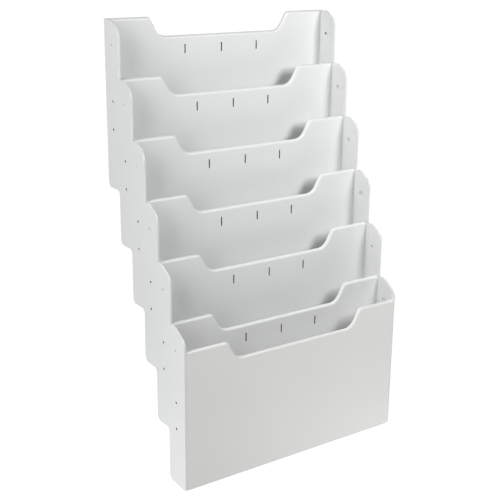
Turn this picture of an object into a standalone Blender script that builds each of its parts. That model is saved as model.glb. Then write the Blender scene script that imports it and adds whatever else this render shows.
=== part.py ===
"""Wall file sorter: six moulded trays in a cascade between two stepped side plates.

Each tray is a back, a floor and two side walls in one piece, open at the top and the
front. The back of the next tray down closes its front, and a front panel between the
walls closes the lowest tray. Hollow rivets through the side plates hold the trays.

Frame: metres, +Z up, +X to the right seen from the front, the wall at y = 0 and the
sorter in front of it, towards -Y. The origin is the middle of the top tray's rear face,
at the height of its two keyholes.
"""

import math

import bmesh
import bpy
from mathutils import Matrix

# The cascade
SORTER_WIDTH = 0.310
POCKET_COUNT = 6
POCKET_STEP = 0.0265
POCKET_DROP = 0.0645
FIT_GAP = 0.0003

# The tray
TRAY_HEIGHT = 0.1935
BACK_WALL = 0.0042
TRAY_SIDE_WALL = 0.0011
FLOOR_WALL = 0.0025
INNER_FILLET = 0.0030
REAR_FOOT_RADIUS = 0.0070
FRONT_FOOT_RADIUS = 0.0010
REAR_TOP_RADIUS = 0.0020

# How far the sides reach: past the back of the next tray down, and on the lowest tray,
# whose foot falls a little towards the front
SIDE_OVERLAP = 0.0057
LOWEST_SIDE_DEPTH = 0.0350
LOWEST_FOOT_FALL = 0.0020
LOWEST_FOOT_RADIUS = 0.0036

# The sloped front corner that every side wall and side plate has at its top
TOP_FLAT = 0.0140
SLOPE_FALL_SHARE = 0.62
SLOPE_TOP_RADIUS = 0.0120
SLOPE_FRONT_RADIUS = 0.0140

# The finger scoop in the top edge of a back or a front
SCOOP_DEPTH = 0.0226
SCOOP_FLOOR_WIDTH = 0.1700
SCOOP_MOUTH_WIDTH = 0.1950
SCOOP_FLOOR_RADIUS = 0.0160
SCOOP_MOUTH_RADIUS = 0.0070

# Three upright divider slots in each back
SLOT_SPACING = 0.0515
SLOT_BELOW_SCOOP = 0.0106
SLOT_LENGTH = 0.0106
SLOT_WIDTH = 0.0015

# Two keyholes in each back, used in the top tray
KEYHOLE_SPACING = 0.2400
KEYHOLE_BELOW_TOP = 0.1015
KEYHOLE_HEAD_RADIUS = 0.0048
KEYHOLE_NECK_WIDTH = 0.0050
KEYHOLE_NECK_RISE = 0.0100

# The side plate
SIDE_PLATE_WALL = 0.0011
PLATE_NOTCH_RADIUS = 0.0015
PLATE_STEP_FILLET = 0.0055

# The front panel
FRONT_WALL = 0.0040
FRONT_BELOW_TRAY_TOP = 0.0238
FRONT_CORNER_RADIUS = 0.0010
FRONT_PANEL_FOOT_RADIUS = 0.0014
LIP_WALL = 0.0015
LIP_DEPTH = 0.0210
LIP_BELOW_FRONT_TOP = 0.0137
LIP_CORNER_RADIUS = 0.0060

# Hollow rivets, three through each side of each tray
RIVET_DEPTH = 0.0162
RIVET_DROPS = (0.0283, 0.0911, 0.1235)
RIVET_BODY_RADIUS = 0.0021
RIVET_BORE_RADIUS = 0.0014
RIVET_HEAD_RADIUS = 0.0030
RIVET_HEAD_THICKNESS = 0.0004
RIVET_CLINCH_RADIUS = 0.0031
RIVET_CLINCH_THICKNESS = 0.0004

CUT_OVERRUN = 0.0020
ARC_STEP = math.radians(18)
HOLE_SIDES = 12
RIVET_SIDES = 10
SHARP_ANGLE = math.radians(40)

TRAY_WIDTH = SORTER_WIDTH - 2 * (SIDE_PLATE_WALL + FIT_GAP)
TRAY_INSIDE = TRAY_WIDTH / 2 - TRAY_SIDE_WALL
SIDE_DEPTH = POCKET_STEP + SIDE_OVERLAP
TRAY_FOOT_DEPTH = POCKET_STEP - FIT_GAP
TOP_HEIGHT = KEYHOLE_BELOW_TOP
FLAT_TO_CORNER = 1 / math.cos(math.pi / HOLE_SIDES)
RIVET_HOLE_RADIUS = (RIVET_BODY_RADIUS + FIT_GAP) * FLAT_TO_CORNER
RIVET_SINK_RADIUS = (RIVET_HEAD_RADIUS + FIT_GAP) * FLAT_TO_CORNER
LAST_REAR = (POCKET_COUNT - 1) * POCKET_STEP
LAST_TOP = TOP_HEIGHT - (POCKET_COUNT - 1) * POCKET_DROP
LAST_FOOT = LAST_TOP - TRAY_HEIGHT
SORTER_FOOT = LAST_FOOT - LOWEST_FOOT_FALL
FRONT_FACE = LAST_REAR + LOWEST_SIDE_DEPTH
FRONT_REAR = FRONT_FACE - FRONT_WALL


def clear_scene():
    for item in list(bpy.data.objects):
        bpy.data.objects.remove(item, do_unlink=True)


def make_material(name, colour, roughness):
    material = bpy.data.materials.new(name)
    material.use_nodes = True
    shader = material.node_tree.nodes["Principled BSDF"]
    shader.inputs["Base Color"].default_value = (*colour, 1.0)
    shader.inputs["Roughness"].default_value = roughness
    shader.inputs["Metallic"].default_value = 0.0
    return material


def add_object(name, mesh, material=None):
    item = bpy.data.objects.new(name, mesh)
    bpy.context.scene.collection.objects.link(item)
    if material is not None:
        mesh.materials.clear()
        mesh.materials.append(material)
    return item


def mesh_from(bm, name):
    """A mesh of the shape, with its faces turned outwards."""
    bmesh.ops.recalc_face_normals(bm, faces=bm.faces)
    mesh = bpy.data.meshes.new(name)
    bm.to_mesh(mesh)
    bm.free()
    return mesh


def rounded(corners):
    """Outline points of (a, b, radius) corners, each rounded by an arc of that radius.

    A radius is kept to what half of the shorter neighbouring side leaves room for.
    """
    points = []
    for i, (a, b, radius) in enumerate(corners):
        before = corners[i - 1]
        after = corners[(i + 1) % len(corners)]
        points += corner_arc((a, b), radius, before[:2], after[:2])
    return points


def corner_arc(corner, radius, before, after):
    to_before = math.dist(corner, before)
    to_after = math.dist(corner, after)
    u = [(p - c) / to_before for p, c in zip(before, corner)]
    v = [(p - c) / to_after for p, c in zip(after, corner)]
    cosine = max(-1.0, min(1.0, u[0] * v[0] + u[1] * v[1]))
    opening = math.acos(cosine)
    turn = math.pi - opening
    reach = min(radius / math.tan(opening / 2), to_before / 2, to_after / 2) if turn > 0 else 0
    if reach <= 0:
        return [corner]
    radius = reach * math.tan(opening / 2)
    bisector = (u[0] + v[0], u[1] + v[1])
    length = math.hypot(*bisector)
    to_centre = radius / math.sin(opening / 2)
    centre = [c + w / length * to_centre for c, w in zip(corner, bisector)]
    start = math.atan2(corner[1] + u[1] * reach - centre[1], corner[0] + u[0] * reach - centre[0])
    side = 1 if u[0] * v[1] - u[1] * v[0] < 0 else -1
    steps = max(2, math.ceil(turn / ARC_STEP))
    angles = [start + side * turn * i / steps for i in range(steps + 1)]
    return [(centre[0] + radius * math.cos(t), centre[1] + radius * math.sin(t)) for t in angles]


def prism(outline, place, low, high):
    """A shape whose ends are the outline, at low and at high along its third axis."""
    bm = bmesh.new()
    near = [bm.verts.new(place(a, b, low)) for a, b in outline]
    far = [bm.verts.new(place(a, b, high)) for a, b in outline]
    bm.faces.new(near)
    bm.faces.new(far[::-1])
    count = len(outline)
    for i in range(count):
        j = (i + 1) % count
        bm.faces.new((near[i], far[i], far[j], near[j]))
    return bm


def side_view(depth, height, x):
    """Side-view points: depth is counted forward from the rear face."""
    return (x, -depth, height)


def front_view(x, height, depth):
    return (x, -depth, height)


def plan_view(x, depth, height):
    return (x, -depth, height)


def circle(a, b, radius, sides):
    turns = [2 * math.pi * (i + 0.5) / sides for i in range(sides)]
    return [(a + radius * math.cos(t), b + radius * math.sin(t)) for t in turns]


def block(low, high):
    """A box between two corners, given as x, depth and height."""
    outline = [(low[0], low[1]), (high[0], low[1]), (high[0], high[1]), (low[0], high[1])]
    return prism(outline, plan_view, low[2], high[2])


def joined(shapes):
    """One mesh data block from shapes that don't touch each other."""
    whole = bmesh.new()
    for bm in shapes:
        bmesh.ops.recalc_face_normals(bm, faces=bm.faces)
        part = bpy.data.meshes.new("part")
        bm.to_mesh(part)
        bm.free()
        whole.from_mesh(part)
        bpy.data.meshes.remove(part)
    return whole


def combine(item, shapes, name, operation="DIFFERENCE"):
    """Cuts the shapes out of the object, or keeps only what is inside them."""
    cutter = add_object(name, mesh_from(joined(shapes), name))
    cutter.hide_render = True
    cutter.display_type = "WIRE"
    modifier = item.modifiers.new(name, "BOOLEAN")
    modifier.operation = operation
    modifier.solver = "EXACT"
    modifier.object = cutter
    return cutter


def finished_mesh(item, cutters, name):
    """The object's mesh with its modifiers applied; the object and its cutters go."""
    bpy.context.view_layer.update()
    graph = bpy.context.evaluated_depsgraph_get()
    mesh = bpy.data.meshes.new_from_object(item.evaluated_get(graph))
    mesh.name = name
    for thing in [item, *cutters]:
        bpy.data.objects.remove(thing, do_unlink=True)
    return mesh


def smooth(mesh):
    """Smooth shading round the arcs, with the flat faces' edges kept sharp."""
    mesh.shade_smooth()
    mesh.set_sharp_from_angle(angle=SHARP_ANGLE)


def sloped_corner(rear, front, top):
    """The two corners of a side's top: where its flat ends, and where its slope ends."""
    slope_start = rear + TOP_FLAT
    fall = (front - slope_start) * SLOPE_FALL_SHARE
    return [(slope_start, top, SLOPE_TOP_RADIUS), (front, top - fall, SLOPE_FRONT_RADIUS)]


def scoop_outline(top):
    """The scoop as a cutter's outline, seen from the front, open upwards."""
    mouth = SCOOP_MOUTH_WIDTH / 2
    floor = SCOOP_FLOOR_WIDTH / 2
    above = top + CUT_OVERRUN
    far = mouth + SCOOP_MOUTH_RADIUS
    left = [(-far, above), (-far, top)] + mouth_arc(top)
    right = [(-x, z) for x, z in reversed(left)]
    bottom = rounded([(-mouth, top, 0), (-floor, top - SCOOP_DEPTH, SCOOP_FLOOR_RADIUS),
                      (floor, top - SCOOP_DEPTH, SCOOP_FLOOR_RADIUS), (mouth, top, 0)])
    return left + bottom[1:-1] + right


def mouth_arc(top):
    """The convex round where the tray's top edge turns down into the scoop, on the left."""
    mouth = SCOOP_MOUTH_WIDTH / 2
    run = (SCOOP_MOUTH_WIDTH - SCOOP_FLOOR_WIDTH) / 2
    return corner_arc((-mouth, top), SCOOP_MOUTH_RADIUS,
                      (-mouth - 2 * SCOOP_MOUTH_RADIUS, top), (-mouth + run, top - SCOOP_DEPTH))


def slot_shapes(top):
    centre = top - SCOOP_DEPTH - SLOT_BELOW_SCOOP - SLOT_LENGTH / 2
    shapes = []
    for place in (-1, 0, 1):
        x = place * SLOT_SPACING
        low = (x - SLOT_WIDTH / 2, -CUT_OVERRUN, centre - SLOT_LENGTH / 2)
        high = (x + SLOT_WIDTH / 2, BACK_WALL + CUT_OVERRUN, centre + SLOT_LENGTH / 2)
        shapes.append(block(low, high))
    return shapes


def keyhole_outline(x, height):
    """A round head opening with a narrow neck above it, which the screw slides up into."""
    half = KEYHOLE_NECK_WIDTH / 2
    lean = math.asin(half / KEYHOLE_HEAD_RADIUS)
    start = math.pi / 2 + lean
    sweep = 2 * (math.pi - lean)
    head = [start + sweep * i / HOLE_SIDES for i in range(HOLE_SIDES + 1)]
    points = [(x + KEYHOLE_HEAD_RADIUS * math.cos(t), height + KEYHOLE_HEAD_RADIUS * math.sin(t))
              for t in head]
    neck = [math.pi * i / HOLE_SIDES for i in range(HOLE_SIDES + 1)]
    rise = height + KEYHOLE_NECK_RISE
    return points + [(x + half * math.cos(t), rise + half * math.sin(t)) for t in neck]


def keyhole_shapes(top):
    height = top - KEYHOLE_BELOW_TOP
    return [prism(keyhole_outline(side * KEYHOLE_SPACING / 2, height), front_view,
                  -CUT_OVERRUN, BACK_WALL + CUT_OVERRUN) for side in (-1, 1)]


def cross_holes(drops, top, radius, low, high):
    """Round cutters that run along X between low and high, one for each rivet drop."""
    return [prism(circle(RIVET_DEPTH, top - drop, radius, HOLE_SIDES), side_view, low, high)
            for drop in drops]


def tray_cavity(depth):
    """The space inside a tray, rounded where its back, floor and sides meet.

    It is what three rounded prisms have in common, seen from the front, the side and above.
    """
    half = TRAY_INSIDE
    ahead = depth + CUT_OVERRUN
    floor = FLOOR_WALL - TRAY_HEIGHT
    above = CUT_OVERRUN
    behind = BACK_WALL - CUT_OVERRUN
    below = floor - CUT_OVERRUN
    wide = half + CUT_OVERRUN
    from_front = rounded([(-half, above, 0), (-half, floor, INNER_FILLET),
                          (half, floor, INNER_FILLET), (half, above, 0)])
    from_side = rounded([(BACK_WALL, above + CUT_OVERRUN, 0), (BACK_WALL, floor, INNER_FILLET),
                         (ahead + CUT_OVERRUN, floor, 0), (ahead + CUT_OVERRUN, above + CUT_OVERRUN, 0)])
    from_above = rounded([(-half, ahead, 0), (-half, BACK_WALL, INNER_FILLET),
                          (half, BACK_WALL, INNER_FILLET), (half, ahead, 0)])
    room = add_object("room", mesh_from(prism(from_front, front_view, behind, ahead), "room"))
    shapes = (prism(from_side, side_view, -wide, wide),
              prism(from_above, plan_view, below, above + CUT_OVERRUN))
    cutters = [combine(room, [shape], "room_part", "INTERSECT") for shape in shapes]
    mesh = finished_mesh(room, cutters, "room")
    bm = bmesh.new()
    bm.from_mesh(mesh)
    return bm


def tray_side(lowest):
    """A tray seen from the side. Its walls reach over the back of the next tray down."""
    front = LOWEST_SIDE_DEPTH if lowest else SIDE_DEPTH
    corners = [(0, 0, REAR_TOP_RADIUS)] + sloped_corner(0, front, 0)
    if lowest:
        corners.append((front, -TRAY_HEIGHT - LOWEST_FOOT_FALL, LOWEST_FOOT_RADIUS))
    else:
        step = FIT_GAP - POCKET_DROP
        corners += [(front, step, FRONT_FOOT_RADIUS), (TRAY_FOOT_DEPTH, step, 0),
                    (TRAY_FOOT_DEPTH, -TRAY_HEIGHT, FRONT_FOOT_RADIUS)]
    return rounded(corners + [(0, -TRAY_HEIGHT, REAR_FOOT_RADIUS)])


def panel_seat():
    """What comes off the lowest tray's floor, so that the front panel fits between its walls."""
    rear = LOWEST_SIDE_DEPTH - FRONT_WALL - FIT_GAP
    top = FLOOR_WALL + INNER_FILLET + CUT_OVERRUN - TRAY_HEIGHT
    return block((-TRAY_INSIDE, rear, -TRAY_HEIGHT - LOWEST_FOOT_FALL - CUT_OVERRUN),
                 (TRAY_INSIDE, LOWEST_SIDE_DEPTH + CUT_OVERRUN, top))


def tray_mesh(name, lowest):
    """One tray, with its rear face at y = 0 and its top at z = 0."""
    half = TRAY_WIDTH / 2
    body = add_object(name, mesh_from(prism(tray_side(lowest), side_view, -half, half), name))
    cutters = [combine(body, [tray_cavity(LOWEST_SIDE_DEPTH if lowest else SIDE_DEPTH)], "cavity_cut")]
    if lowest:
        cutters.append(combine(body, [panel_seat()], "seat_cut"))
    scoop = prism(scoop_outline(0), front_view, -CUT_OVERRUN, BACK_WALL + CUT_OVERRUN)
    cutters.append(combine(body, [scoop], "scoop_cut"))
    openings = slot_shapes(0) + keyhole_shapes(0)
    reach = half + CUT_OVERRUN
    wall = half - TRAY_SIDE_WALL - CUT_OVERRUN
    openings += cross_holes(RIVET_DROPS, 0, RIVET_HOLE_RADIUS, wall, reach)
    openings += cross_holes(RIVET_DROPS, 0, RIVET_HOLE_RADIUS, -reach, -wall)
    cutters.append(combine(body, openings, "opening_cut"))
    mesh = finished_mesh(body, cutters, name)
    smooth(mesh)
    return mesh


def plate_outline():
    """The side plate seen from the side: a sloped corner and a step for each pocket."""
    corners = [(0, TOP_HEIGHT, REAR_TOP_RADIUS)]
    for k in range(POCKET_COUNT):
        rear = k * POCKET_STEP
        top = TOP_HEIGHT - k * POCKET_DROP
        if k < POCKET_COUNT - 1:
            corners += sloped_corner(rear, rear + SIDE_DEPTH, top)
            corners.append((rear + SIDE_DEPTH, top - POCKET_DROP, PLATE_NOTCH_RADIUS))
    corners += sloped_corner(LAST_REAR, FRONT_FACE, LAST_TOP)
    corners.append((FRONT_FACE, SORTER_FOOT, LOWEST_FOOT_RADIUS))
    for k in reversed(range(POCKET_COUNT)):
        rear = k * POCKET_STEP
        foot = TOP_HEIGHT - k * POCKET_DROP - TRAY_HEIGHT
        corners.append((rear, foot, REAR_FOOT_RADIUS))
        if k > 0:
            corners.append((rear, foot + POCKET_DROP, PLATE_STEP_FILLET))
    return rounded(corners)


def rivet_places():
    """(tray number, depth, height, drop) of every rivet on one side."""
    return [(k, k * POCKET_STEP + RIVET_DEPTH, TOP_HEIGHT - k * POCKET_DROP - drop, drop)
            for k in range(POCKET_COUNT) for drop in RIVET_DROPS]


def side_plate(name, side, material):
    outer = side * SORTER_WIDTH / 2
    inner = outer - side * SIDE_PLATE_WALL
    low, high = sorted((outer, inner))
    item = add_object(name, mesh_from(prism(plate_outline(), side_view, low, high), name), material)
    sink_floor = outer - side * (RIVET_HEAD_THICKNESS + FIT_GAP)
    sink_low, sink_high = sorted((sink_floor, outer + side * CUT_OVERRUN))
    bores = []
    sinks = []
    for _, depth, height, _ in rivet_places():
        bore = circle(depth, height, RIVET_HOLE_RADIUS, HOLE_SIDES)
        bores.append(prism(bore, side_view, low - CUT_OVERRUN, high + CUT_OVERRUN))
        sink = circle(depth, height, RIVET_SINK_RADIUS, HOLE_SIDES)
        sinks.append(prism(sink, side_view, sink_low, sink_high))
    combine(item, bores, name + "_bore_cut")
    combine(item, sinks, name + "_sink_cut")
    smooth(item.data)
    return item


def front_plan():
    """The front panel from above: a plate between the tray's walls, with a lip at each end."""
    half = TRAY_INSIDE - FIT_GAP
    end = FRONT_REAR - LIP_DEPTH
    right = [(half, FRONT_FACE, 0), (half, end, 0), (half - LIP_WALL, end, 0),
             (half - LIP_WALL, FRONT_REAR, INNER_FILLET)]
    return rounded(right + [(-x, y, r) for x, y, r in reversed(right)])


def front_face_outline(top):
    """The front panel from the front: rounded corners and the scoop in its top edge."""
    half = TRAY_INSIDE - FIT_GAP
    mouth = SCOOP_MOUTH_WIDTH / 2
    floor = SCOOP_FLOOR_WIDTH / 2
    dip = top - SCOOP_DEPTH
    left = [(-half, SORTER_FOOT, FRONT_CORNER_RADIUS), (-half, top, FRONT_CORNER_RADIUS),
            (-mouth, top, SCOOP_MOUTH_RADIUS), (-floor, dip, SCOOP_FLOOR_RADIUS)]
    return rounded(left + [(-x, z, r) for x, z, r in reversed(left)])


def front_cutters(top):
    """What comes off the panel seen from the side: its foot's edge, and over and under the lips."""
    past = CUT_OVERRUN
    low = SORTER_FOOT - past
    soft = FRONT_PANEL_FOOT_RADIUS
    arc = corner_arc((FRONT_FACE, SORTER_FOOT), soft, (FRONT_FACE, top), (0, SORTER_FOOT))
    edge = arc + [(FRONT_FACE - soft, low), (FRONT_FACE + past, low), (FRONT_FACE + past, SORTER_FOOT + soft)]
    end = FRONT_REAR - LIP_DEPTH
    lip_top = top - LIP_BELOW_FRONT_TOP
    lip_foot = LAST_FOOT + FLOOR_WALL + INNER_FILLET
    behind = FRONT_REAR - FIT_GAP
    over = rounded([(behind, top + past, 0), (behind, lip_top, 0), (end, lip_top, LIP_CORNER_RADIUS),
                    (end, low, 0), (end - past, low, 0), (end - past, top + past, 0)])
    under = [(behind, low), (behind, lip_foot), (end - past, lip_foot), (end - past, low)]
    return edge, over, under


def front_panel(material):
    top = LAST_TOP - FRONT_BELOW_TRAY_TOP
    past = CUT_OVERRUN
    wide = SORTER_WIDTH / 2 + past
    solid = prism(front_plan(), plan_view, SORTER_FOOT - past, top + past)
    item = add_object("front_panel", mesh_from(solid, "front_panel"), material)
    face = prism(front_face_outline(top), front_view, FRONT_REAR - LIP_DEPTH - past, FRONT_FACE + past)
    combine(item, [face], "front_face_keep", "INTERSECT")
    for outline, name in zip(front_cutters(top), ("edge_cut", "lip_top_cut", "lip_foot_cut")):
        combine(item, [prism(outline, side_view, -wide, wide)], "front_" + name)
    holes = [prism(circle(depth, height, RIVET_HOLE_RADIUS, HOLE_SIDES), side_view, -wide, wide)
             for k, depth, height, drop in rivet_places() if goes_through_lip(k, drop)]
    combine(item, holes, "front_hole_cut")
    smooth(item.data)
    return item


def goes_through_lip(k, drop):
    return k == POCKET_COUNT - 1 and drop > FRONT_BELOW_TRAY_TOP + LIP_BELOW_FRONT_TOP


def rivet_mesh(name, walls):
    """A hollow rivet along +X: flush head at x = 0, clinched collar past the inner wall.

    walls is the thickness that it goes through, gaps between the walls included.
    """
    shoulder = RIVET_HEAD_THICKNESS
    collar = walls + FIT_GAP
    end = collar + RIVET_CLINCH_THICKNESS
    profile = [(0, RIVET_BORE_RADIUS), (0, RIVET_HEAD_RADIUS), (shoulder, RIVET_HEAD_RADIUS),
               (shoulder, RIVET_BODY_RADIUS), (collar, RIVET_BODY_RADIUS),
               (collar, RIVET_CLINCH_RADIUS), (end, RIVET_CLINCH_RADIUS), (end, RIVET_BORE_RADIUS)]
    bm = bmesh.new()
    rings = []
    for i in range(RIVET_SIDES):
        t = 2 * math.pi * i / RIVET_SIDES
        rings.append([bm.verts.new((x, r * math.cos(t), r * math.sin(t))) for x, r in profile])
    count = len(profile)
    for i in range(RIVET_SIDES):
        ring, after = rings[i], rings[(i + 1) % RIVET_SIDES]
        for j in range(count):
            m = (j + 1) % count
            bm.faces.new((ring[j], ring[m], after[m], after[j]))
    mesh = mesh_from(bm, name)
    smooth(mesh)
    return mesh


def place_rivets(material):
    """Three rivets for each side of each tray, numbered from the top."""
    walls = SIDE_PLATE_WALL + FIT_GAP + TRAY_SIDE_WALL
    short = rivet_mesh("rivet_short", walls)
    long = rivet_mesh("rivet_long", walls + FIT_GAP + LIP_WALL)
    for side, word in ((-1, "left"), (1, "right")):
        for i, (k, depth, height, drop) in enumerate(rivet_places()):
            row = "abc"[i % len(RIVET_DROPS)]
            mesh = long if goes_through_lip(k, drop) else short
            item = add_object(f"rivet_{word}_{k + 1}{row}", mesh, material)
            turn = Matrix.Rotation(math.pi if side > 0 else 0, 4, "Z")
            item.matrix_world = Matrix.Translation((side * SORTER_WIDTH / 2, -depth, height)) @ turn


def main():
    clear_scene()
    tray_plastic = make_material("tray_plastic", (0.80, 0.81, 0.81), 0.42)
    plate_plastic = make_material("plate_plastic", (0.79, 0.80, 0.80), 0.45)
    front_plastic = make_material("front_plastic", (0.80, 0.81, 0.81), 0.40)
    rivet_plastic = make_material("rivet_plastic", (0.70, 0.71, 0.71), 0.50)
    upper = tray_mesh("tray", False)
    lowest = tray_mesh("lowest_tray", True)
    for k in range(POCKET_COUNT):
        mesh = upper if k < POCKET_COUNT - 1 else lowest
        tray = add_object(f"tray_{k + 1}", mesh, tray_plastic)
        tray.location = (0, -k * POCKET_STEP, TOP_HEIGHT - k * POCKET_DROP)
    side_plate("side_plate_left", -1, plate_plastic)
    side_plate("side_plate_right", 1, plate_plastic)
    front_panel(front_plastic)
    place_rivets(rivet_plastic)


main()
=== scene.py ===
# %% [markdown]
# # A wall file sorter in moulded plastic
#
# The sorter is six open trays in a cascade, riveted between two stepped side plates, with
# a front panel on the lowest one. The frame already holds every piece at its real size,
# as a plain solid with sharp rims. Moulded plastic has no sharp rims: each is as round as
# the mould cutter left it, and the round ones catch the light. So each piece is made
# again here with soft rims, in the place of its plain solid.

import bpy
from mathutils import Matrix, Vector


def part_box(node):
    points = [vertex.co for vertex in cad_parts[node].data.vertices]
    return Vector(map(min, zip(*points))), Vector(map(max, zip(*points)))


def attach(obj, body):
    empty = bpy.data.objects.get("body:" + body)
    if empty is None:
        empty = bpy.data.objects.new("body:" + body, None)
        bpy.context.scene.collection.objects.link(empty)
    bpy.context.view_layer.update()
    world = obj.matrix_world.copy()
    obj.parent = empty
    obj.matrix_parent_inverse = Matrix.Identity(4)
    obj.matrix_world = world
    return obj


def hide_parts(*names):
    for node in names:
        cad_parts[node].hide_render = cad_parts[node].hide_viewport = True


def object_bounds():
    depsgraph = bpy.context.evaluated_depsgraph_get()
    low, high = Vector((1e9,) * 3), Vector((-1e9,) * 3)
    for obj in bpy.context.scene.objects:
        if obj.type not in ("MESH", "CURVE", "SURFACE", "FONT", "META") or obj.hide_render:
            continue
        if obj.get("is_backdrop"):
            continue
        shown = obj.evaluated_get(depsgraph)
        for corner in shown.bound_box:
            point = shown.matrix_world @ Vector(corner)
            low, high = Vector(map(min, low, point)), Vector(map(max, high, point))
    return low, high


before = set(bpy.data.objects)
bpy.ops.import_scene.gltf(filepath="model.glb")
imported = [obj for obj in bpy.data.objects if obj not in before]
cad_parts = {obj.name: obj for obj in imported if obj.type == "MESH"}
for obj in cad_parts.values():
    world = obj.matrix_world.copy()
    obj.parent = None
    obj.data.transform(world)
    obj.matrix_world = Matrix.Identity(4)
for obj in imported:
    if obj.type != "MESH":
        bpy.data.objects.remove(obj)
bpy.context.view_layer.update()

# %% Python's own tools, and Blender's
import math

import bmesh
import bpy
from mathutils import Matrix, Vector

# %% [markdown]
# ## The camera and its place
#
# The portrait is taken from the left, from a little above the top tray's rim. The camera
# could be aimed with a Track To constraint, but a turn, a tilt and a roll say
# exactly how it stands, as the head of a tripod does, so its matrix is built from those
# three. The lens is a long one, so edges that are parallel stay nearly so in the picture.

# %% A new object in the scene
def new_object(name, data):
    item = bpy.data.objects.new(name, data)
    bpy.context.scene.collection.objects.link(item)
    return item


# %% Camera
CAMERA_PLACE = (-0.6798, -1.0417, 0.1913)
CAMERA_TURN = math.radians(34.953)
CAMERA_TILT = math.radians(17.313)
CAMERA_ROLL = math.radians(0.603)
CAMERA_LENS = 72.54

camera = new_object("portrait_camera", bpy.data.cameras.new("portrait_camera"))
camera.data.lens = CAMERA_LENS
stand = Matrix.Translation(CAMERA_PLACE)
turn = Matrix.Rotation(-CAMERA_TURN, 4, "Z")
tilt = Matrix.Rotation(math.pi / 2 - CAMERA_TILT, 4, "X")
roll = Matrix.Rotation(CAMERA_ROLL, 4, "Z")
camera.matrix_world = stand @ turn @ tilt @ roll
bpy.context.scene.camera = camera
bpy.context.scene.view_settings.view_transform = "Standard"
print("camera", round(camera.matrix_world.translation.length, 3), "m from the origin")

# %% [markdown]
# ## Sizes
#
# What the frame can be asked isn't typed again: the width, the step from tray to tray and
# the place of each rivet come from the nodes' boxes. Only what a box can't tell, such as
# the radius of a corner, is named here, in metres.

# %% Sizes read from the frame
TRAY_COUNT = 6
tray_boxes = [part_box(f"tray_{k + 1}") for k in range(TRAY_COUNT)]
first_low, first_high = tray_boxes[0]
_, second_high = tray_boxes[1]
last_low, last_high = tray_boxes[-1]
plate_low, plate_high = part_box("side_plate_left")
panel_low, panel_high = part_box("front_panel")

half_width = -plate_low.x
plate_wall = plate_high.x - plate_low.x
tray_half = first_high.x
tray_height = first_high.z - first_low.z
top_height = first_high.z
pocket_step = first_high.y - second_high.y
pocket_drop = first_high.z - second_high.z
side_depth = first_high.y - first_low.y
lowest_depth = last_high.y - last_low.y
foot_height = panel_low.z
floor_height = last_high.z - tray_height
panel_face = -panel_low.y
panel_top = panel_high.z
print("step", round(pocket_step, 4), "drop", round(pocket_drop, 4), "side", round(side_depth, 4))

# %% Sizes of the moulded corners
FIT_GAP = 0.0003
SEAM = 0.00006
BACK_WALL = 0.0042
TRAY_SIDE_WALL = 0.0011
FLOOR_WALL = 0.0025
FRONT_WALL = 0.0040
INNER_FILLET = 0.0030
REAR_FOOT_RADIUS = 0.0070
FRONT_FOOT_RADIUS = 0.0010
LOWEST_FOOT_RADIUS = 0.0036
REAR_TOP_RADIUS = 0.0012
TOP_FLAT = 0.0140
SLOPE_FALL_SHARE = 0.62
SLOPE_TOP_RADIUS = 0.0120
SLOPE_FRONT_RADIUS = 0.0140

tray_inside = tray_half - TRAY_SIDE_WALL
panel_rear = panel_face - FRONT_WALL
print("each pocket is", round(2 * tray_inside, 4), "wide inside")

# %% [markdown]
# ## Outlines
#
# A flat moulding is drawn the way a draughtsman would: straight lines from corner to
# corner, and then an arc in each corner. Blender has curves for this, but a short
# function keeps the points in plain Python lists, where the rim can be worked out too.

# %% Rounded outlines
ARC_STEP = math.radians(6)
FEWEST_STEPS = 3


def corner_arc(corner, radius, before, after):
    """The arc that rounds one corner, kept to half of the shorter side beside it."""
    to_before = math.dist(corner, before)
    to_after = math.dist(corner, after)
    u = [(p - c) / to_before for p, c in zip(before, corner)]
    v = [(p - c) / to_after for p, c in zip(after, corner)]
    opening = math.acos(max(-1.0, min(1.0, u[0] * v[0] + u[1] * v[1])))
    reach = min(radius / math.tan(opening / 2), to_before / 2, to_after / 2)
    if reach <= 0:
        return [corner]
    radius = reach * math.tan(opening / 2)
    bisector = Vector((u[0] + v[0], u[1] + v[1])).normalized()
    centre = Vector(corner) + bisector * (radius / math.sin(opening / 2))
    start = Vector(corner) + Vector(u) * reach - centre
    side = 1 if u[0] * v[1] - u[1] * v[0] < 0 else -1
    sweep = math.pi - opening
    steps = max(FEWEST_STEPS, math.ceil(sweep / ARC_STEP))
    first = math.atan2(start.y, start.x)
    angles = [first + side * sweep * i / steps for i in range(steps + 1)]
    return [(centre.x + radius * math.cos(t), centre.y + radius * math.sin(t)) for t in angles]


def rounded(corners):
    """Outline points from (a, b, radius) corners."""
    points = []
    for i, (a, b, radius) in enumerate(corners):
        after = corners[(i + 1) % len(corners)]
        points += corner_arc((a, b), radius, corners[i - 1][:2], after[:2])
    return points


def circle(a, b, radius, sides):
    turns = [2 * math.pi * i / sides for i in range(sides)]
    return [(a + radius * math.cos(t), b + radius * math.sin(t)) for t in turns]


# %% [markdown]
# ## A slab with a soft rim
#
# A Bevel modifier rounds edges too, but it struggles where many short edges of an arc
# meet, and it rounds every edge alike. Here the rim is drawn instead: the outline is
# repeated in rings, each a little further in and a little deeper, along a quarter
# circle. Holes get rings of their own. One more flat ring inside the rim keeps the
# shading of the large faces truly flat.

# %% Rings round a rim
RIM_STEPS = 5
RIM_FLAT = 0.0004
SAME_SPOT = 0.000001


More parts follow.
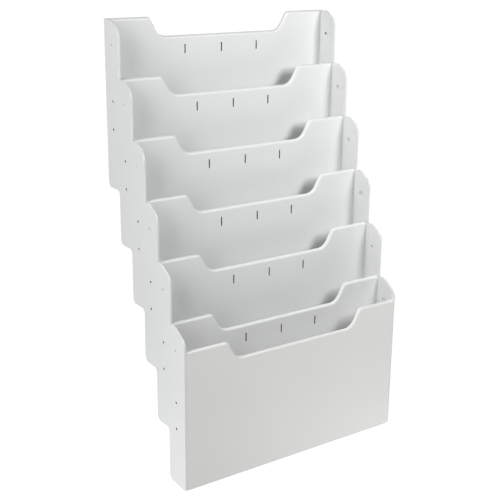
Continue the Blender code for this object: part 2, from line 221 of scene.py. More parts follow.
def moved_in(points, distance, closed=True):
    """The loop moved to its left by a distance; a counter-clockwise loop shrinks."""
    spots = [Vector(p) for p in points]
    count = len(spots)
    normals = []
    for i in range(count if closed else count - 1):
        along = (spots[(i + 1) % count] - spots[i]).normalized()
        normals.append(Vector((-along.y, along.x)))
    result = []
    for i, spot in enumerate(spots):
        before = normals[i - 1] if closed or i > 0 else normals[0]
        after = normals[i] if i < len(normals) else normals[-1]
        shift = (before + after) * (distance / (1 + before.dot(after)))
        result.append(tuple(spot + shift))
    return result


def turned_left(points):
    """The points in counter-clockwise order."""
    area = sum(a[0] * b[1] - b[0] * a[1] for a, b in zip(points, points[1:] + points[:1]))
    return points if area > 0 else points[::-1]


def rim(wall, near, far, flat=RIM_FLAT):
    """(inset, depth) of each ring over a wall's edge, with a radius at either face."""
    turns = [math.pi / 2 * i / RIM_STEPS for i in range(RIM_STEPS + 1)]
    rings = [(near * (1 - math.sin(t)), near * (1 - math.cos(t))) for t in turns]
    rings += [(far * (1 - math.cos(t)), wall - far + far * math.sin(t)) for t in turns]
    rings = [(near + flat, 0)] + rings + [(far + flat, wall)]
    return [r for i, r in enumerate(rings) if i == 0 or math.dist(r, rings[i - 1]) > SAME_SPOT]


# %% The slab itself
def side_view(depth, height, x):
    """Side-view points: depth is counted forward from the wall."""
    return (x, -depth, height)


def front_view(x, height, depth):
    return (x, -depth, height)


def bridge(bm, ring, after, closed=True):
    """Faces between two rings of vertices."""
    count = len(ring)
    for i in range(count if closed else count - 1):
        j = (i + 1) % count
        bm.faces.new((ring[i], ring[j], after[j], after[i]))


def ring_edges(bm, ring):
    return [bm.edges.get((ring[i - 1], ring[i])) for i in range(len(ring))]


def slab(outline, rings, holes, place):
    """A flat piece with rings round its rim and round each (outline, rings) hole."""
    bm = bmesh.new()
    faces = ([], [])
    for points, profile, way in [(outline, rings, 1)] + [(p, r, -1) for p, r in holes]:
        points = turned_left(points)
        loops = [[bm.verts.new(place(a, b, depth)) for a, b in moved_in(points, way * inset)]
                 for inset, depth in profile]
        for loop, after in zip(loops, loops[1:]):
            bridge(bm, loop, after)
        faces[0].extend(ring_edges(bm, loops[0]))
        faces[1].extend(ring_edges(bm, loops[-1]))
    for edges in faces:
        bmesh.ops.triangle_fill(bm, edges=edges, use_beauty=True)
    return bm


# %% From rings to an object
SHARP_ANGLE = math.radians(35)


def mesh_of(bm, name):
    """A mesh with its faces outwards, smooth over the rims and flat on the faces."""
    bmesh.ops.recalc_face_normals(bm, faces=bm.faces)
    open_edges = sum(1 for e in bm.edges if not e.is_manifold)
    mesh = bpy.data.meshes.new(name)
    bm.to_mesh(mesh)
    bm.free()
    mesh.shade_smooth()
    mesh.set_sharp_from_angle(angle=SHARP_ANGLE)
    print(name, len(mesh.polygons), "faces,", open_edges, "open edges")
    return mesh


def dressed(item, materials, slot, *nodes):
    """Puts a piece in its plain solids' place; a mesh that pieces share is dressed once."""
    if not item.data.materials:
        for material in materials:
            item.data.materials.append(material)
    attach(item, "root")
    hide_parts(*nodes)


def fused(base, others, name):
    """One closed mesh of the base and what is joined to it."""
    item = new_object(name, mesh_of(base, name + "_base"))
    added = []
    for i, bm in enumerate(others):
        other = new_object(f"{name}_add_{i}", mesh_of(bm, f"{name}_add_{i}"))
        added.append(other)
        modifier = item.modifiers.new(other.name, "BOOLEAN")
        modifier.operation = "UNION"
        modifier.solver = "EXACT"
        modifier.object = other
    bpy.context.view_layer.update()
    graph = bpy.context.evaluated_depsgraph_get()
    bm = bmesh.new()
    bm.from_mesh(item.evaluated_get(graph).to_mesh())
    for thing in [item, *added]:
        bpy.data.objects.remove(thing, do_unlink=True)
    return mesh_of(bm, name)


# %% [markdown]
# ## The plastic
#
# Satin moulded plastic is nearly one colour, yet never quite: the melt cools unevenly,
# so broad soft clouds of slightly lighter and darker tone lie under the surface, and the
# spark-eroded mould leaves a grain of a few tenths of a millimetre. The clouds and the
# grain are noise textures on Object coordinates, which need no unwrapping and carry on
# over an edge. The grain drives a Bump node and, faintly, the roughness. The walls of
# narrow slots and of most rivet bores get painted shade: a much darker copy of the same
# plastic stands in for the shade that falls deep inside them.

# %% Sums on shader sockets
class Wire:
    """An output socket that can be added, subtracted and multiplied."""

    def __init__(self, finish, socket):
        self.finish = finish
        self.socket = socket

    def sum(self, operation, a, b):
        return self.finish.node("ShaderNodeMath", {"operation": operation}, {0: a, 1: b})

    def __add__(self, other):
        return self.sum("ADD", self, other)

    def __radd__(self, other):
        return self.sum("ADD", other, self)

    def __sub__(self, other):
        return self.sum("SUBTRACT", self, other)

    def __rsub__(self, other):
        return self.sum("SUBTRACT", other, self)

    def __mul__(self, other):
        return self.sum("MULTIPLY", self, other)

    def __rmul__(self, other):
        return self.sum("MULTIPLY", other, self)


# %% A material's node tree
class Finish:
    """The nodes of a material, or of the world, with one method for any node."""

    def __init__(self, owner):
        owner.use_nodes = True
        self.owner = owner
        self.nodes = owner.node_tree.nodes
        self.links = owner.node_tree.links
        self.nodes.clear()

    def node(self, kind, settings=None, sockets=None, output=0):
        """Makes a node; the settings come first, then the sockets' values or links."""
        made = self.nodes.new(kind)
        for key, value in (settings or {}).items():
            setattr(made, key, value)
        for key, value in (sockets or {}).items():
            if isinstance(value, Wire):
                self.links.new(value.socket, made.inputs[key])
            else:
                made.inputs[key].default_value = value
        return Wire(self, made.outputs[output]) if made.outputs else None

    def mix(self, factor, a, b):
        """A colour between two colours."""
        return self.node("ShaderNodeMix", {"data_type": "RGBA"}, {0: factor, 6: a, 7: b}, 2)


# %% Moulded plastic
CLOUD_SCALE = 9.0
CLOUD_DETAIL = 2.0
CLOUD_SHARE = 0.03
CLOUD_GLOSS = 0.10
GRAIN_SCALE = 2600.0
GRAIN_DETAIL = 1.0
GRAIN_GLOSS = 0.06
GRAIN_DEPTH = 0.00002
GRAIN_STRENGTH = 0.35
NOISE_MIDDLE = 0.5
PLASTIC_IOR = 1.46


def moulded_plastic(name, colour, roughness):
    """Satin plastic of one colour, with soft clouds and a fine grain."""
    finish = Finish(bpy.data.materials.new(name))
    place = finish.node("ShaderNodeTexCoord", output=3)
    clouds = finish.node("ShaderNodeTexNoise", None, {
        "Vector": place, "Scale": CLOUD_SCALE, "Detail": CLOUD_DETAIL})
    grain = finish.node("ShaderNodeTexNoise", None, {
        "Vector": place, "Scale": GRAIN_SCALE, "Detail": GRAIN_DETAIL})
    light = [min(1.0, c * (1 + CLOUD_SHARE)) for c in colour] + [1.0]
    dark = [c * (1 - CLOUD_SHARE) for c in colour] + [1.0]
    tone = finish.mix(clouds, dark, light)
    gloss = roughness + CLOUD_GLOSS * (clouds - NOISE_MIDDLE) + GRAIN_GLOSS * (grain - NOISE_MIDDLE)
    bump = finish.node("ShaderNodeBump", None, {
        "Height": grain, "Strength": GRAIN_STRENGTH, "Distance": GRAIN_DEPTH})
    shader = finish.node("ShaderNodeBsdfPrincipled", None, {
        "Base Color": tone, "Roughness": gloss, "Normal": bump, "IOR": PLASTIC_IOR})
    finish.node("ShaderNodeOutputMaterial", None, {"Surface": shader})
    print(name, "has", len(finish.nodes), "nodes")
    return finish.owner


# %% The finishes of the sorter
PLASTIC = (0.698, 0.708, 0.705)
FRONT_PLASTIC = (0.704, 0.706, 0.690)
# The share of the plastic's colour that the painted shade in slots and bores keeps.
PAINTED_SHADE_SHARE = 0.22
TRAY_ROUGHNESS = 0.42
PLATE_ROUGHNESS = 0.45
FRONT_ROUGHNESS = 0.40
RIVET_ROUGHNESS = 0.50
PAINTED_SHADE_ROUGHNESS = 0.60

tray_plastic = moulded_plastic("tray_plastic", PLASTIC, TRAY_ROUGHNESS)
plate_plastic = moulded_plastic("plate_plastic", PLASTIC, PLATE_ROUGHNESS)
front_plastic = moulded_plastic("front_plastic", FRONT_PLASTIC, FRONT_ROUGHNESS)
rivet_plastic = moulded_plastic("rivet_plastic", PLASTIC, RIVET_ROUGHNESS)
# Painted shade: a much darker copy of the plastic, put on slot walls and rivet bores in place of
# the shade that falls there.
painted_shade_plastic = moulded_plastic("painted_shade_plastic", [c * PAINTED_SHADE_SHARE for c in PLASTIC], PAINTED_SHADE_ROUGHNESS)

# %% [markdown]
# ## The side plates
#
# Each side of the sorter is one thin plate with a step for every tray. On the real
# object such a plate is moulded flat, with a shallow sink round every rivet hole so that
# the rivet's head lies flush. The sink is only a different set of rings round the hole,
# so no Boolean is needed.

# %% Outline of a side plate
SIDES = ((-1, "left"), (1, "right"))
PLATE_NOTCH_RADIUS = 0.0015
PLATE_STEP_FILLET = 0.0055


def sloped_corner(rear, front, top):
    """The two corners of a side's top: where its flat ends, and where its slope ends."""
    fall = (front - rear - TOP_FLAT) * SLOPE_FALL_SHARE
    return [(rear + TOP_FLAT, top, SLOPE_TOP_RADIUS), (front, top - fall, SLOPE_FRONT_RADIUS)]


def plate_outline():
    """Down the front from the top, and back up the rear, one step for each tray."""
    corners = [(0, top_height, REAR_TOP_RADIUS)]
    for k in range(TRAY_COUNT - 1):
        rear = k * pocket_step
        top = top_height - k * pocket_drop
        corners += sloped_corner(rear, rear + side_depth, top)
        corners.append((rear + side_depth, top - pocket_drop, PLATE_NOTCH_RADIUS))
    corners += sloped_corner(-last_high.y, panel_face, last_high.z)
    corners.append((panel_face, foot_height, LOWEST_FOOT_RADIUS))
    for k in reversed(range(TRAY_COUNT)):
        rear = k * pocket_step
        foot = top_height - k * pocket_drop - tray_height
        corners.append((rear, foot, REAR_FOOT_RADIUS))
        if k > 0:
            corners.append((rear, foot + pocket_drop, PLATE_STEP_FILLET))
    return rounded(corners)


# %% Rivet places, read from the frame
def rivet_name(side, k, row):
    return f"rivet_{side}_{k + 1}{row}"


def rivet_centre(side, k, row):
    low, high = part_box(rivet_name(side, k, row))
    return (low + high) / 2


rivet_spots = [(k, row, rivet_centre("left", k, row)) for k in range(TRAY_COUNT) for row in "abc"]
print("rivets on a side", len(rivet_spots))

# %% The two plates
HOLE_SIDES = 32
HOLE_RADIUS = 0.0023
SINK_RADIUS = 0.0031
SINK_DEPTH = 0.00045
HOLE_EDGE = 0.00012
PLATE_OUTER_RIM = 0.0002
PLATE_SEAM_RIM = 0.00015


def sunk_hole(wall):
    """Rings of a rivet hole with a shallow sink at the outer face."""
    sink = SINK_RADIUS - HOLE_RADIUS
    return [(sink + HOLE_EDGE + RIM_FLAT, 0), (sink + HOLE_EDGE, 0), (sink, HOLE_EDGE),
            (sink, SINK_DEPTH), (0, SINK_DEPTH), (0, wall - HOLE_EDGE), (HOLE_EDGE, wall),
            (HOLE_EDGE + RIM_FLAT, wall)]


def side_plate(side, word):
    holes = [(circle(-spot.y, spot.z, HOLE_RADIUS, HOLE_SIDES), sunk_hole(plate_wall))
             for _, _, spot in rivet_spots]
    rings = rim(plate_wall, PLATE_OUTER_RIM, PLATE_SEAM_RIM)

    def place(depth, height, inward):
        return side_view(depth, height, side * (half_width - inward))

    name = f"stepped_plate_{word}"
    return new_object(name, mesh_of(slab(plate_outline(), rings, holes, place), name))


for side, word in SIDES:
    dressed(side_plate(side, word), [plate_plastic], "side_plate", f"side_plate_{word}")

# %% [markdown]
# ## The trays
#
# A tray is one moulding: a thick back that bends round into the floor, and two thin side
# walls. Cutting a hollow out of a block would give its shape, but not its rims. So the
# back and floor are drawn as one bent sheet, whose top rim follows the finger scoop; the
# side walls are slabs; and a slim concave strip rounds each inside corner. A Boolean
# union then fuses them to one closed mesh, which all the equal trays share.

# %% The finger scoop
SCOOP_DEPTH = 0.0226
SCOOP_FLOOR_HALF = 0.0850
SCOOP_MOUTH_HALF = 0.0975
SCOOP_FLOOR_RADIUS = 0.0160
SCOOP_MOUTH_RADIUS = 0.0070


def scooped_top(top, half):
    """The top edge seen from the front, from right to left, with the scoop in it."""
    dip = top - SCOOP_DEPTH
    right = [(half, top, 0), (SCOOP_MOUTH_HALF, top, SCOOP_MOUTH_RADIUS),
             (SCOOP_FLOOR_HALF, dip, SCOOP_FLOOR_RADIUS)]
    left = [(-x, z, r) for x, z, r in reversed(right)]
    corners = right + left
    points = [corners[0][:2]]
    for before, corner, after in zip(corners, corners[1:], corners[2:]):
        points += corner_arc(corner[:2], corner[2], before[:2], after[:2])
    return points + [corners[-1][:2]]


# %% Slots and keyholes
SLOT_SPACING = 0.0515
SLOT_BELOW_SCOOP = 0.0106
SLOT_LENGTH = 0.0106
SLOT_WIDTH = 0.0015
SLOT_CORNER = 0.0003
SLOT_RIM = 0.0002
SLOT_MIDDLE = -SCOOP_DEPTH - SLOT_BELOW_SCOOP - SLOT_LENGTH / 2
SLOT_PLACES = [place * SLOT_SPACING for place in (-1, 0, 1)]
KEYHOLE_SPACING = 0.2400
KEYHOLE_BELOW_TOP = 0.1015
KEYHOLE_HEAD_RADIUS = 0.0048
KEYHOLE_NECK_WIDTH = 0.0050
KEYHOLE_NECK_RISE = 0.0100
KEYHOLE_RIM = 0.0004


def slot_outlines():
    outlines = []
    for x in SLOT_PLACES:
        left, right = x - SLOT_WIDTH / 2, x + SLOT_WIDTH / 2
        low, high = SLOT_MIDDLE - SLOT_LENGTH / 2, SLOT_MIDDLE + SLOT_LENGTH / 2
        outlines.append(rounded([(left, low, SLOT_CORNER), (right, low, SLOT_CORNER),
                                 (right, high, SLOT_CORNER), (left, high, SLOT_CORNER)]))
    return outlines


def in_slot(spot):
    """Whether a place in a tray is on a slot's wall, past the slot's rounded edges."""
    aside = min(abs(spot.x - x) for x in SLOT_PLACES)
    along = abs(spot.z - SLOT_MIDDLE)
    return aside < SLOT_WIDTH / 2 + SLOT_RIM / 4 and along < SLOT_LENGTH / 2 + SLOT_RIM / 4


def keyhole_outline(x, height):
    """A round head opening with a neck above it, which a screw slides up into."""
    half = KEYHOLE_NECK_WIDTH / 2
    lean = math.asin(half / KEYHOLE_HEAD_RADIUS)
    sweep = 2 * (math.pi - lean)
    head = [math.pi / 2 + lean + sweep * i / HOLE_SIDES for i in range(HOLE_SIDES + 1)]
    neck = [math.pi * i / (HOLE_SIDES // 2) for i in range(HOLE_SIDES // 2 + 1)]
    rise = height + KEYHOLE_NECK_RISE
    return ([(x + KEYHOLE_HEAD_RADIUS * math.cos(t), height + KEYHOLE_HEAD_RADIUS * math.sin(t))
             for t in head] + [(x + half * math.cos(t), rise + half * math.sin(t)) for t in neck])


# %% The parts of a sheet with a scooped rim
REAR_RIM = 0.0011
FRONT_RIM = 0.0030
SHEET_FLAT = 0.0006


def crest_loops(bm, half, top, start, rear, rings):
    """A loop for each ring, rear face first: over the scooped top and down to the start."""
    crest = scooped_top(top, half)[::-1]
    loops = []
    for inset, depth in rings:
        edge = moved_in(crest, -inset, closed=False) + [(half, start), (-half, start)]
        loops.append([bm.verts.new(front_view(x, z, rear + depth)) for x, z in edge])
    for loop, after in zip(loops, loops[1:]):
        bridge(bm, loop[-1:] + loop[:-1], after[-1:] + after[:-1], closed=False)
    for loop in (loops[0], loops[-1]):
        bm.edges.new(loop[-2:])
    return loops


def opening_edges(bm, rear, wall, openings):
    """Rings through the wall for each (outline, radius) opening; gives their face edges."""
    edges = ([], [])
    for points, radius in openings:
        points = turned_left(points)
        inner = [[bm.verts.new(front_view(x, z, rear + depth)) for x, z in moved_in(points, -inset)]
                 for inset, depth in rim(wall, radius, radius)]
        for loop, after in zip(inner, inner[1:]):
            bridge(bm, loop, after)
        edges[0].extend(ring_edges(bm, inner[0]))
        edges[1].extend(ring_edges(bm, inner[-1]))
    return edges


def carry_on(bm, row, half, shares, lines):
    """Rows of faces below the first row, one for each (rear, front) point pair, and an end."""
    for back, front in lines:
        spots = [tuple(b + (f - b) * share for b, f in zip(back, front)) for share in shares]
        left = [bm.verts.new((-half, -depth, height)) for depth, height in spots]
        right = [bm.verts.new((half, -depth, height)) for depth, height in reversed(spots)]
        bridge(bm, row, left + right)
        row = left + right
    bm.faces.new(row)


# %% The sheet itself
def sheet(half, top, rear, wall, openings, lines):
    """A wall with a rim along its scooped top; (rear, front) point pairs carry it on below."""
    bm = bmesh.new()
    rings = rim(wall, REAR_RIM, FRONT_RIM, SHEET_FLAT)
    loops = crest_loops(bm, half, top, lines[0][0][1], rear, rings)
    outer_edges = [ring_edges(bm, loop) for loop in (loops[0], loops[-1])]
    for outer, inner in zip(outer_edges, opening_edges(bm, rear, wall, openings)):
        bmesh.ops.triangle_fill(bm, edges=outer + inner, use_beauty=True)
    row = [loop[-1] for loop in loops] + [loop[-2] for loop in reversed(loops)]
    carry_on(bm, row, half, [depth / wall for _, depth in rings], lines)
    bmesh.ops.remove_doubles(bm, verts=bm.verts, dist=SAME_SPOT)
    bmesh.ops.dissolve_degenerate(bm, edges=bm.edges, dist=SAME_SPOT)
    return bm


# %% The back and floor as one bent sheet
BEND_STEPS = 12
SET_IN = 0.00004


def quarter(centre, radius, share):
    """A point on the arc that turns from straight down to straight forward."""
    turn = math.pi / 2 * share
    return (centre[0] - radius * math.cos(turn), centre[1] - radius * math.sin(turn))


def bend_lines(reach, fall):
    """(rear, front) point pairs from the back round into the floor, whose underside may fall."""
    foot = SET_IN - tray_height
    outer = (REAR_FOOT_RADIUS + SET_IN, foot + REAR_FOOT_RADIUS)
    inner = (BACK_WALL + INNER_FILLET, FLOOR_WALL + INNER_FILLET - tray_height)
    lines = []
    for i in range(BEND_STEPS + 1):
        share = i / BEND_STEPS
        lines.append((quarter(outer, REAR_FOOT_RADIUS, share), quarter(inner, INNER_FILLET, share)))
    soft = FRONT_FOOT_RADIUS
    for i in range(RIM_STEPS + 1):
        t = math.pi / 2 * i / RIM_STEPS
        depth = reach - soft + soft * math.sin(t)
        rise = soft * (1 - math.cos(t))
        lines.append(((depth, foot - fall + rise), (depth, FLOOR_WALL - tray_height - rise)))
    return lines


def bent_sheet(half, reach, fall):
    """The back, with its slots and keyholes, and the floor it bends into."""
    openings = [(points, SLOT_RIM) for points in slot_outlines()]
    openings += [(keyhole_outline(side * KEYHOLE_SPACING / 2, -KEYHOLE_BELOW_TOP), KEYHOLE_RIM)
                 for side in (-1, 1)]
    return sheet(half, -SET_IN, SET_IN, BACK_WALL - SET_IN, openings, bend_lines(reach, fall))


# %% Side walls and inside corners
TRAY_RIM = 0.0002
TRAY_SEAM_RIM = 0.00015
STRIP_SINK = 0.0005
STRIP_BITE = 0.00002
STRIP_FADE = 0.0900
STRIP_TOP_RADIUS = 0.0005
STRIP_TOP_SHARE = 0.75


def tray_side(lowest):
    """A side wall seen from the side; it reaches over the back of the next tray down."""
    front = lowest_depth if lowest else side_depth
    corners = [(0, 0, REAR_TOP_RADIUS)] + sloped_corner(0, front, 0)
    if lowest:
        corners.append((front, foot_height - last_high.z, LOWEST_FOOT_RADIUS))
    else:
        step = FIT_GAP - pocket_drop
        foot = pocket_step - FIT_GAP
        corners += [(front, step, FRONT_FOOT_RADIUS), (foot, step, 0),
                    (foot, -tray_height, FRONT_FOOT_RADIUS)]
    return rounded(corners + [(0, -tray_height, REAR_FOOT_RADIUS)])


def side_wall(side, lowest):
    outer = half_width - plate_wall - SEAM
    wall = outer - tray_inside
    hole_rings = rim(wall, HOLE_EDGE, HOLE_EDGE)
    holes = [(circle(-spot.y, spot.z - top_height, HOLE_RADIUS, HOLE_SIDES), hole_rings)
             for k, _, spot in rivet_spots if k == 0]

    def place(depth, height, inward):
        return side_view(depth, height, side * (outer - inward))

    return slab(tray_side(lowest), rim(wall, TRAY_SEAM_RIM, TRAY_RIM), holes, place)


def concave_section(radius):
    """A strip's section in its corner: the corner is the origin, both walls run along +."""
    centre = radius - STRIP_BITE
    arc = [math.pi + math.pi / 2 * i / BEND_STEPS for i in range(BEND_STEPS + 1)]
    points = [(centre + radius * math.cos(t), centre + radius * math.sin(t)) for t in arc]
    return points + [(centre, -STRIP_SINK), (-STRIP_SINK, -STRIP_SINK), (-STRIP_SINK, centre)]


def strip(stations, place):
    """A strip through (radius, way along) stations, closed at both ends."""
    bm = bmesh.new()
    loops = [[bm.verts.new(place(a, b, along)) for a, b in concave_section(radius)]
             for radius, along in stations]
    for loop, after in zip(loops, loops[1:]):
        bridge(bm, loop, after)
    bm.faces.new(loops[0])
    bm.faces.new(loops[-1])
    return bm


def inside_strips(side, reach):
    """The inside corners: beside the back, sharper towards the top, and beside the floor."""
    wall = side * tray_inside
    floor = FLOOR_WALL - tray_height
    upright = [(INNER_FILLET, floor - STRIP_SINK), (INNER_FILLET, -STRIP_FADE),
               (STRIP_TOP_RADIUS, -FRONT_RIM * STRIP_TOP_SHARE)]
    level = [(INNER_FILLET, BACK_WALL - STRIP_SINK), (INNER_FILLET, reach - FRONT_FOOT_RADIUS)]
    back_strip = strip(upright, lambda a, b, z: (wall - side * a, -BACK_WALL - b, z))
    floor_strip = strip(level, lambda a, b, depth: (wall - side * a, -depth, floor + b))
    return back_strip, floor_strip


# %% A tray from its parts
def together(*shapes):
    """Shapes that stay apart from each other, in one bmesh."""
    whole = bmesh.new()
    for bm in shapes:
        bmesh.ops.recalc_face_normals(bm, faces=bm.faces)
        part = bpy.data.meshes.new("part")
        bm.to_mesh(part)
        bm.free()
        whole.from_mesh(part)
        bpy.data.meshes.remove(part)
    return whole


def tray_mesh(name, lowest):
    reach = lowest_depth - FRONT_WALL - SEAM if lowest else pocket_step - FIT_GAP
    fall = (floor_height - foot_height) * reach / lowest_depth if lowest else 0
    middle = tray_half - TRAY_SIDE_WALL / 2
    walls = together(side_wall(-1, lowest), side_wall(1, lowest))
    strips = [inside_strips(side, reach) for side in (-1, 1)]
    uprights = together(*(pair[0] for pair in strips))
    levels = together(*(pair[1] for pair in strips))
    mesh = fused(bent_sheet(middle, reach - STRIP_BITE, fall), (walls, uprights, levels), name)
    # The walls of the slots get painted shade, the second material.
    for face in mesh.polygons:
        face.material_index = int(in_slot(face.center))
    return mesh


# %% The six trays
upper_tray = tray_mesh("upper_tray", False)
lowest_tray = tray_mesh("lowest_tray", True)
for k, (low, high) in enumerate(tray_boxes):
    tray = new_object(f"moulded_tray_{k + 1}", upper_tray if k < TRAY_COUNT - 1 else lowest_tray)
    tray.location = (0, high.y, high.z)
    dressed(tray, [tray_plastic, painted_shade_plastic], "tray", f"tray_{k + 1}")

# %% [markdown]
# ## The front panel
#
# The panel closes the lowest tray. It sits between the tray's two walls, flush with their
# front edges, and a lip behind each of its ends lies against the wall, where two rivets
# hold it. It is the same kind of sheet as a back, but with a foot in place of a floor,
# and its lips are slabs, fused to it in the same way.

# %% Front panel
LIP_WALL = 0.0015
LIP_BELOW_TOP = 0.0137
LIP_CORNER = 0.0060
LIP_RIM = 0.0005
PANEL_FOOT_RADIUS = 0.0014

lip_end = -panel_high.y
lip_foot = floor_height + FLOOR_WALL + INNER_FILLET
lip_top = panel_top - LIP_BELOW_TOP
print("panel", round(2 * tray_inside, 4), "wide, lip depth", round(panel_rear - lip_end, 4))


def foot_lines():
    """(rear, front) point pairs down the panel and round its foot."""
    start = foot_height + 2 * PANEL_FOOT_RADIUS
    lines = [((panel_rear, start), (panel_face, start))]
    for i in range(BEND_STEPS + 1):
        t = math.pi / 2 * i / BEND_STEPS
        rear, front = [(soft * (1 - math.cos(t)), foot_height + soft * (1 - math.sin(t)))
                       for soft in (FRONT_WALL - PANEL_FOOT_RADIUS, PANEL_FOOT_RADIUS)]
        lines.append(((panel_rear + rear[0], rear[1]), (panel_face - front[0], front[1])))
    return lines


def lip(side):
    """A lip behind the panel, sunk into it at its front edge."""
    root = panel_rear + FRONT_WALL / 2
    outline = rounded([(lip_end, lip_foot, FRONT_FOOT_RADIUS), (root, lip_foot, 0),
                       (root, lip_top, 0), (lip_end, lip_top, LIP_CORNER)])
    outer = tray_inside - FIT_GAP
    hole_rings = rim(LIP_WALL, HOLE_EDGE, HOLE_EDGE)
    holes = [(circle(-spot.y, spot.z, HOLE_RADIUS, HOLE_SIDES), hole_rings)
             for k, row, spot in rivet_spots if k == TRAY_COUNT - 1 and row != "a"]

    def place(depth, height, inward):
        return side_view(depth, height, side * (outer - inward))

    return slab(outline, rim(LIP_WALL, LIP_RIM, LIP_RIM), holes, place)


def lip_strip(side):
    """The rounded corner between a lip and the panel's back."""
    wall = side * (tray_inside - FIT_GAP - LIP_WALL)
    stations = [(LIP_RIM, lip_foot + LIP_RIM), (INNER_FILLET, lip_foot + INNER_FILLET),
                (INNER_FILLET, lip_top - INNER_FILLET), (LIP_RIM, lip_top - LIP_RIM)]
    return strip(stations, lambda a, b, z: (wall - side * a, b - panel_rear, z))


# %% The panel with its lips
face = sheet(tray_inside - SEAM, panel_top, panel_rear, FRONT_WALL, [], foot_lines())
lips = together(lip(-1), lip(1))
lip_strips = together(lip_strip(-1), lip_strip(1))
panel = new_object("moulded_front", fused(face, (lips, lip_strips), "moulded_front"))
dressed(panel, [front_plastic], "front_panel", "front_panel")

# %% [markdown]
# ## The rivets
#
# A hollow rivet is a turned tube with a flat head and a collar rolled over at the far
# end. The profile is drawn once, with small arcs where the plastic would flow, and spun
# round its axis. The same mesh serves every rivet of one length that has its bore
# painted dark as shade, or not.

# %% Rivets
RIVET_SIDES = 32
BORE_RADIUS = 0.0014
BODY_RADIUS = 0.0021
HEAD_RADIUS = 0.0030
HEAD_THICKNESS = 0.0004
CLINCH_RADIUS = 0.0031
CLINCH_THICKNESS = 0.0004
RIVET_EDGE = 0.00015
BORE_MOUTH = 0.0003


def rivet_mesh(name, length, unshaded):
    """A rivet along +X, its head's face at x = 0; unless unshaded, its bore is painted dark as
    shade.
    """
    collar = length - CLINCH_THICKNESS
    profile = rounded([(0, BORE_RADIUS, BORE_MOUTH), (length, BORE_RADIUS, BORE_MOUTH),
                       (length, CLINCH_RADIUS, RIVET_EDGE), (collar, CLINCH_RADIUS, RIVET_EDGE),
                       (collar, BODY_RADIUS, 0), (HEAD_THICKNESS, BODY_RADIUS, 0),
                       (HEAD_THICKNESS, HEAD_RADIUS, RIVET_EDGE), (0, HEAD_RADIUS, RIVET_EDGE)])
    bm = bmesh.new()
    loops = []
    for i in range(RIVET_SIDES):
        t = 2 * math.pi * i / RIVET_SIDES
        loops.append([bm.verts.new((x, r * math.cos(t), r * math.sin(t))) for x, r in profile])
    for i, loop in enumerate(loops):
        bridge(bm, loops[i - 1], loop)
    mesh = mesh_of(bm, name)
    # The bore's faces get painted shade unless the rivet is unshaded.
    for face in mesh.polygons:
        out = math.hypot(*face.center[1:])
        face.material_index = int(not unshaded and out < BORE_RADIUS + BORE_MOUTH / 4)
    return mesh


# %% A rivet in every hole
# Every bore is painted dark as shade except those of row a, yet the top tray's right rivet of row a
# is painted dark too.
UNSHADED_ROW = "a"
PAINTED_SHADE_TOP = ("right", 0)

rivet_meshes = {}
for side, word in SIDES:
    for k, row, _ in rivet_spots:
        low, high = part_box(rivet_name(word, k, row))
        length = round(high.x - low.x, 5)
        kind = (length, row == UNSHADED_ROW and (word, k) != PAINTED_SHADE_TOP)
        if kind not in rivet_meshes:
            rivet_meshes[kind] = rivet_mesh(f"hollow_rivet_{len(rivet_meshes)}", *kind)
        rivet = new_object(f"hollow_{rivet_name(word, k, row)}", rivet_meshes[kind])
        centre = (low + high) / 2
        rivet.matrix_world = (Matrix.Translation((side * half_width, centre.y, centre.z))
                              @ Matrix.Rotation(math.pi if side > 0 else 0, 4, "Z"))
        dressed(rivet, [rivet_plastic, painted_shade_plastic], "rivet", rivet_name(word, k, row))
print("rivet meshes", len(rivet_meshes))

# %% [markdown]
# ## Floor and light
#
# The sorter hangs on a wall at about the height of a desk, so the floor is well below it.
# The key lamp stands close in front, a little to the right and above, so each back is
# brighter towards the right, and every scoop's right corner throws a small soft shadow on
# the back behind it. Two lamps on the left light the sides, and two weak ones from below
# stand in for the light that a pale table sends up. For a walk round the sorter, a sun
# lamp shines level from the right rear: it only grazes the paper below, so it lightens
# the portrait by no more than a few grey levels. For the camera the world and the paper
# are white.

# %% Floor
FLOOR_DROP = 0.9
FLOOR_HALF = 30.0
WHITE = (1.0, 1.0, 1.0, 1.0)
PAPER = (0.86, 0.86, 0.86, 1.0)
PAPER_GLOW = 0.97

studio_paper = Finish(bpy.data.materials.new("studio_paper"))
seen = studio_paper.node("ShaderNodeLightPath")
paper = studio_paper.node("ShaderNodeBsdfDiffuse", None, {"Color": PAPER})
glow = studio_paper.node("ShaderNodeEmission", None, {"Color": WHITE, "Strength": PAPER_GLOW})
lifted = studio_paper.node("ShaderNodeAddShader", None, {0: paper, 1: glow})
both = studio_paper.node("ShaderNodeMixShader", None, {0: seen, 1: paper, 2: lifted})
studio_paper.node("ShaderNodeOutputMaterial", None, {"Surface": both})

bm = bmesh.new()
bmesh.ops.create_grid(bm, x_segments=1, y_segments=1, size=FLOOR_HALF)
floor = new_object("floor", mesh_of(bm, "floor"))
floor.location.z = foot_height - FLOOR_DROP
floor.data.materials.append(studio_paper.owner)
floor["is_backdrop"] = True

# %% World
WORLD_LIGHT = 0.04
SHOWN_LIGHT = 1.0

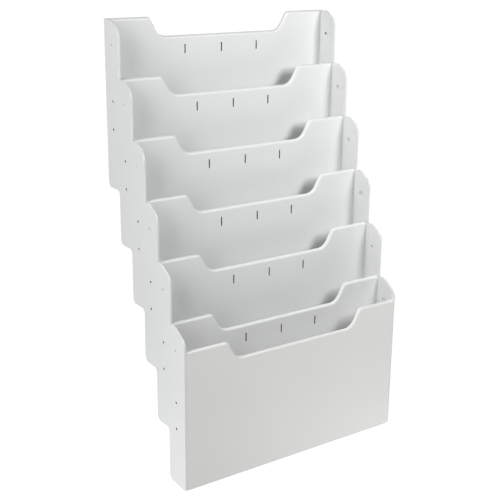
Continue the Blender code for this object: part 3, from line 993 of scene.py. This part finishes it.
world = Finish(bpy.data.worlds.new("pale_world"))
bpy.context.scene.world = world.owner
seen = world.node("ShaderNodeLightPath")
lit = world.node("ShaderNodeBackground", None, {"Color": WHITE, "Strength": WORLD_LIGHT})
shown = world.node("ShaderNodeBackground", None, {"Color": WHITE, "Strength": SHOWN_LIGHT})
either = world.node("ShaderNodeMixShader", None, {0: seen, 1: lit, 2: shown})
world.node("ShaderNodeOutputWorld", None, {"Surface": either})
print("world", WORLD_LIGHT, "to the sorter and", SHOWN_LIGHT, "to the camera")

# %% Lamps
LAMP_TARGET = (0.0, -0.08, -0.16)
LAMPS = {
    "key_lamp": {"place": (0.285, -0.685, 0.29), "size": 0.3, "power": 5.1},
    "left_lamp": {"place": (-1.2, -0.5, 0.3), "size": 0.8, "power": 10.7},
    "high_lamp": {"place": (-1.2, -0.2, 0.8), "size": 0.6, "power": 6.9},
    "low_right_lamp": {"place": (0.3, -0.4, -0.7), "size": 0.4, "power": 1.4},
    "low_left_lamp": {"place": (-0.5, -0.25, -0.6), "size": 0.3, "power": 1.1},
}


def lamp(name, place, size, power):
    """A square area lamp that faces the sorter."""
    item = new_object(name, bpy.data.lights.new(name, "AREA"))
    item.data.size = size
    item.data.energy = power
    item.location = place
    item.rotation_euler = (Vector(LAMP_TARGET) - Vector(place)).to_track_quat("-Z", "Y").to_euler()
    print(name, round(math.dist(place, LAMP_TARGET), 2), "m away,", power, "W")


for name, setting in LAMPS.items():
    lamp(name, **setting)

# %% A level sun from the right rear
REAR_SUN_TURN = math.radians(40)
REAR_SUN_SPREAD = math.radians(12)
REAR_SUN_STRENGTH = 4.0

sun = new_object("rear_sun", bpy.data.lights.new("rear_sun", "SUN"))
sun.data.energy = REAR_SUN_STRENGTH
sun.data.angle = REAR_SUN_SPREAD
sun.rotation_euler = (-math.pi / 2, 0, -REAR_SUN_TURN)
print("rear sun", sun.data.energy, "spread", round(math.degrees(sun.data.angle), 1), "degrees")

# %% The bounds of what is shown
low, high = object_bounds()
